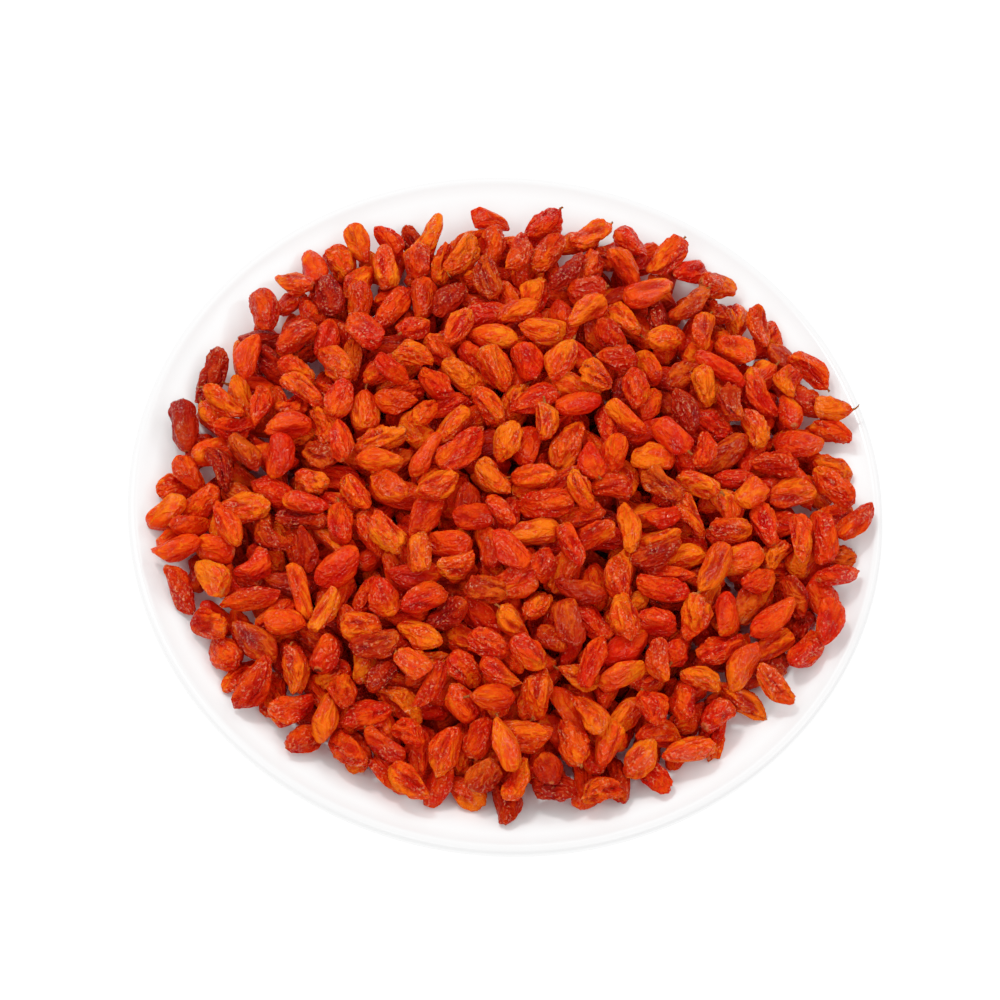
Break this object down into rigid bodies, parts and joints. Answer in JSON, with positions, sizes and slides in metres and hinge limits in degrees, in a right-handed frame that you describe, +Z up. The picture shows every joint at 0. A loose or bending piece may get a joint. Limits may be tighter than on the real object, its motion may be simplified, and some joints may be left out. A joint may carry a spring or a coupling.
{
  "type": "bowl of dried sea buckthorn berries",
  "caption": "Shallow round white glazed bowl heaped with small wrinkled orange-red dried sea buckthorn berries, resting on a foot ring.",
  "frame": {"origin": "centre of the foot ring's underside, on the surface that the bowl stands on", "axes": "+Z up out of the bowl; +Y away from the picture's viewer and +X to the viewer's right"},
  "size_m": [0.14, 0.14, 0.0395],
  "materials": {
    "white_glaze": "gloss",
    "dried_berry": "satin"
  },
  "bodies": {
    "root": {"bowl": "white_glaze", "berry_heap": "dried_berry"}
  },
  "joints": []
}
